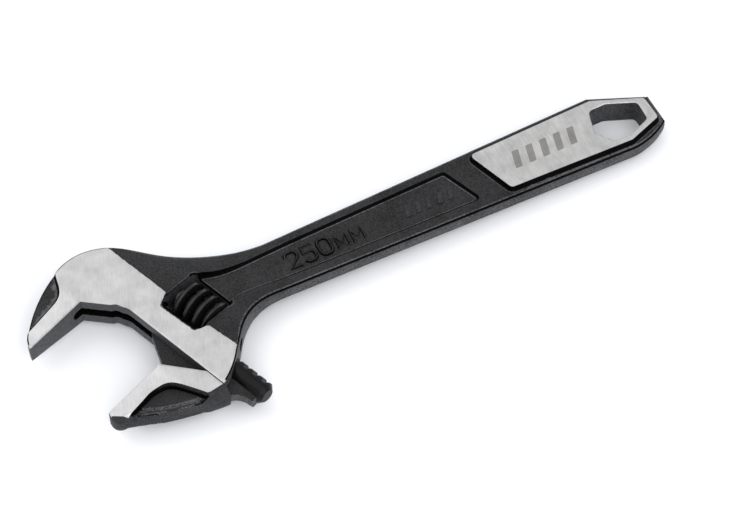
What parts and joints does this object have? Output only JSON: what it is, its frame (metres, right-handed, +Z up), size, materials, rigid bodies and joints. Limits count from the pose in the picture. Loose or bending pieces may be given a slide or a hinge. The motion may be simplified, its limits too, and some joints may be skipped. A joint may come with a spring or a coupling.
{
  "type": "adjustable wrench",
  "caption": "Adjustable open-end wrench with a worm-driven sliding jaw, a ribbed flat handle and a hang hole.",
  "frame": {"origin": "centre of the bounding box on the plane the wrench lies on", "axes": "+X along the handle from the jaws to the hang hole, +Y from the moving jaw's side to the fixed jaw's side, +Z up through the thickness"},
  "size_m": [0.2494, 0.0828, 0.017],
  "materials": {
    "forged_body": "satin",
    "forged_jaw": "satin",
    "worm_steel": "gloss",
    "pin_steel": "satin",
    "spring_wire": "gloss"
  },
  "bodies": {
    "body": {"wrench_body": "forged_body", "worm_pin": "pin_steel", "worm_spring": "spring_wire"},
    "jaw": {"moving_jaw": "forged_jaw"},
    "worm": {"adjusting_worm": "worm_steel"}
  },
  "joints": [
    {"name": "jaw_slide", "type": "slide", "parent": "body", "child": "jaw", "axis": [0.3486, -0.9373, 0], "range_m": [-0.03885, 0.0008]},
    {"name": "worm_spin", "type": "hinge", "parent": "body", "child": "worm", "pos_m": [-0.06533, 0.00327, 0.0085], "axis": [0.3486, -0.9373, 0], "range_deg": [-68, 3254]}
  ],
  "couplings": [
    {"joint": "worm_spin", "follows": "jaw_slide", "rad_per_m": -1461.2}
  ]
}
